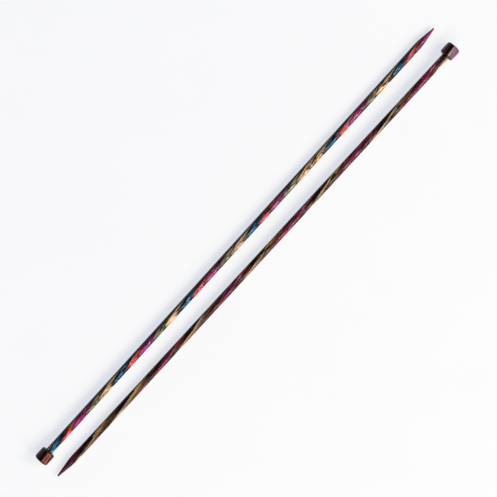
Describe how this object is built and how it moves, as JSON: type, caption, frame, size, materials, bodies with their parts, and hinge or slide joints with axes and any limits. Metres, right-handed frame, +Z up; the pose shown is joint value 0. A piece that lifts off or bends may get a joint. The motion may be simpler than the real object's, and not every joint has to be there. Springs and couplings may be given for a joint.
{
  "type": "straight knitting needles",
  "caption": "Pair of straight single-pointed knitting needles, round laminated wood shafts with a tapered point and a short cylindrical knob, for flat knitting.",
  "frame": {"origin": "centre of the pair, on the plane that the needles lie on", "axes": "+X runs along the pair, from the first needle's knob to its tip; +Y points from the second needle to the first; +Z is up, away from the plane that the needles lie on"},
  "size_m": [0.35, 0.0242, 0.009],
  "materials": {
    "blue_veneer": "gloss",
    "orange_veneer": "gloss",
    "magenta_veneer": "gloss",
    "green_veneer": "gloss",
    "tan_veneer": "gloss",
    "pale_tan_veneer": "gloss",
    "brown_veneer": "gloss",
    "deep_magenta_veneer": "gloss",
    "crimson_veneer": "gloss",
    "black_veneer": "gloss",
    "knob_black_veneer": "gloss",
    "knob_brown_veneer": "gloss",
    "knob_taupe_veneer": "gloss",
    "knob_plum_veneer": "gloss",
    "knob_wine_veneer": "gloss",
    "wood_glue": "matte"
  },
  "bodies": {
    "needle_a": {"needle_a_blue_plies": "blue_veneer", "needle_a_orange_plies": "orange_veneer", "needle_a_magenta_plies": "magenta_veneer", "needle_a_green_plies": "green_veneer", "needle_a_tan_plies": "tan_veneer", "needle_a_knob_black_plies": "knob_black_veneer", "needle_a_knob_brown_plies": "knob_brown_veneer", "needle_a_knob_plum_plies": "knob_plum_veneer", "needle_a_knob_wine_plies": "knob_wine_veneer", "needle_a_knob_glue": "wood_glue"},
    "needle_b": {"needle_b_tan_plies": "pale_tan_veneer", "needle_b_brown_plies": "brown_veneer", "needle_b_magenta_plies": "deep_magenta_veneer", "needle_b_crimson_plies": "crimson_veneer", "needle_b_black_plies": "black_veneer", "needle_b_knob_black_plies": "knob_black_veneer", "needle_b_knob_brown_plies": "knob_taupe_veneer", "needle_b_knob_plum_plies": "knob_plum_veneer", "needle_b_knob_wine_plies": "knob_wine_veneer", "needle_b_knob_glue": "wood_glue"}
  },
  "joints": [
    {"name": "needle_b_draw", "type": "slide", "parent": "needle_a", "child": "needle_b", "axis": [1, -0.0038, 0], "range_m": [0, 0.36]}
  ]
}
